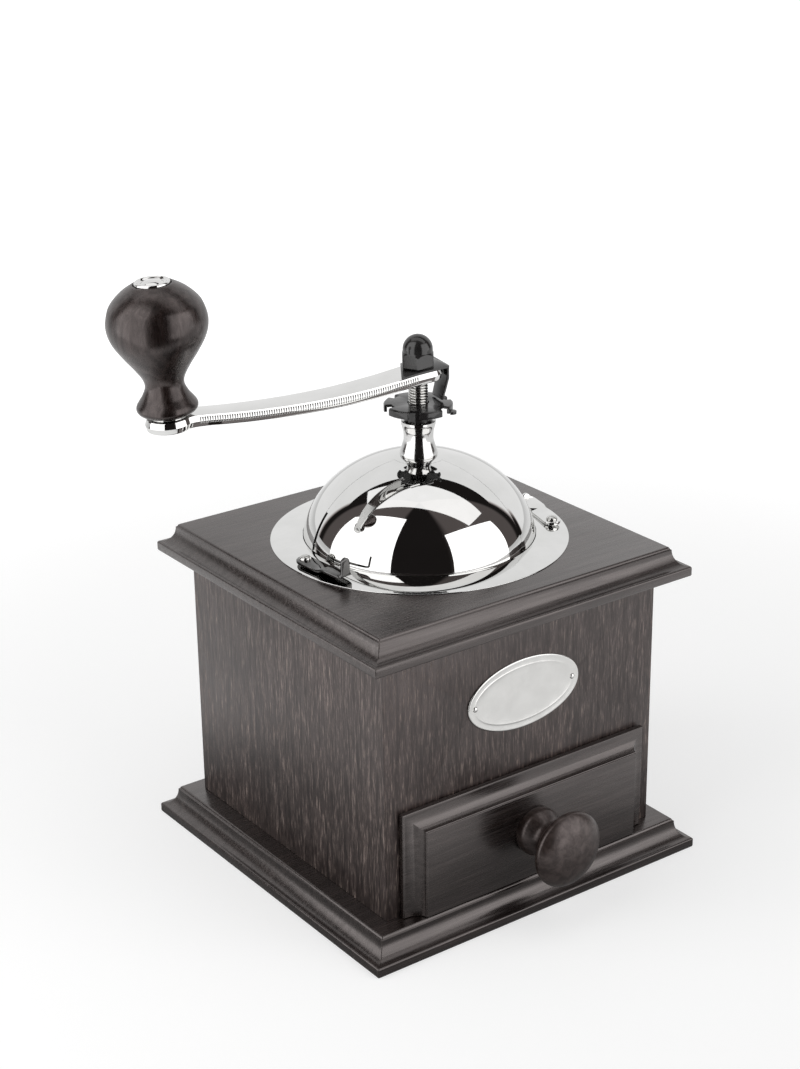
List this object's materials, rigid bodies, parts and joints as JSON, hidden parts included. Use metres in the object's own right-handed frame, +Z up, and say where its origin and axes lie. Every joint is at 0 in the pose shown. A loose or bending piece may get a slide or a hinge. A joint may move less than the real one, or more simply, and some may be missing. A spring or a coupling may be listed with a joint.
{
  "type": "manual coffee grinder",
  "caption": "Box coffee mill: moulded wooden case with a drawer, domed metal hopper with a turning filler door, finger latches, and a top crank with a pear-shaped wooden knob.",
  "frame": {"origin": "centre of the flat underside of the base, where it meets the table", "axes": "+Z up along the spindle; -Y towards the drawer and the oval plate; +X to the right of someone facing the drawer"},
  "size_m": [0.1666, 0.1485, 0.2081],
  "materials": {
    "panel_wood": "dark stained open-grained veneer, satin",
    "plate_wood": "near-black stained and lacquered, satin",
    "turned_wood": "dark turned hardwood with a soft polish",
    "inner_wood": "plain unfinished beech",
    "chrome": "bright polished plating",
    "nickel": "bright pressed sheet",
    "black_steel": "black oxide, satin",
    "cast_iron": "plain cast and cut teeth",
    "steel": "turned bright steel"
  },
  "bodies": {
    "case": {"base_plate": "plate_wood", "base_screw_1": "steel", "base_screw_2": "steel", "base_screw_3": "steel", "base_screw_4": "steel", "case_front_panel": "panel_wood", "case_right_side": "panel_wood", "case_back_panel": "panel_wood", "case_left_side": "panel_wood", "drawer_guide_left": "inner_wood", "drawer_guide_right": "inner_wood", "top_plate": "plate_wood", "oval_plate": "nickel", "plate_pin_left": "nickel", "plate_pin_right": "nickel", "flange_ring": "chrome", "dome_shell": "chrome", "latch_rivet_left": "steel", "latch_rivet_right": "steel", "hopper_bowl": "steel", "burr_ring": "cast_iron", "mechanism_screw_1": "steel", "mechanism_screw_2": "steel", "mechanism_screw_3": "steel", "lower_bearing": "cast_iron", "top_bridge": "steel", "bridge_screw_front": "steel", "bridge_screw_back": "steel", "bearing_tube": "steel", "spindle_sleeve": "chrome"},
    "drawer": {"drawer_front": "plate_wood", "drawer_left_side": "inner_wood", "drawer_right_side": "inner_wood", "drawer_back": "inner_wood", "drawer_bottom": "inner_wood", "drawer_knob": "turned_wood", "drawer_knob_screw": "steel"},
    "door": {"filler_door": "chrome"},
    "left_latch": {"latch_left": "chrome"},
    "right_latch": {"latch_right": "chrome"},
    "crank": {"spindle": "steel", "burr_cone": "cast_iron", "burr_pin": "steel", "crank_arm": "chrome", "wheel_catch": "black_steel", "acorn_nut": "black_steel", "knob_washer": "steel", "knob_pin": "chrome"},
    "wheel": {"adjusting_wheel": "black_steel"},
    "knob": {"crank_knob": "turned_wood"}
  },
  "joints": [
    {"name": "crank_spin", "type": "hinge", "parent": "case", "child": "crank", "pos_m": [0, 0, 0.16], "axis": [0, 0, 1], "continuous": true},
    {"name": "wheel_turn", "type": "hinge", "parent": "crank", "child": "wheel", "pos_m": [0, 0, 0.1535], "axis": [0, 0, 1], "range_deg": [-180, 180]},
    {"name": "knob_spin", "type": "hinge", "parent": "crank", "child": "knob", "pos_m": [-0.08322, 0.01467, 0.165], "axis": [-0.0688, 0.0121, 0.9976], "continuous": true},
    {"name": "drawer_slide", "type": "slide", "parent": "case", "child": "drawer", "axis": [0, -1, 0], "range_m": [0, 0.075]},
    {"name": "door_turn", "type": "hinge", "parent": "case", "child": "door", "pos_m": [0, 0, 0.125], "axis": [0, 0, 1], "range_deg": [0, 122]},
    {"name": "left_latch_turn", "type": "hinge", "parent": "case", "child": "left_latch", "pos_m": [-0.04428, 0.00116, 0.112], "axis": [0, 0, -1], "range_deg": [0, 60]},
    {"name": "right_latch_turn", "type": "hinge", "parent": "case", "child": "right_latch", "pos_m": [0.03919, -0.02066, 0.112], "axis": [0, 0, -1], "range_deg": [0, 60]}
  ]
}
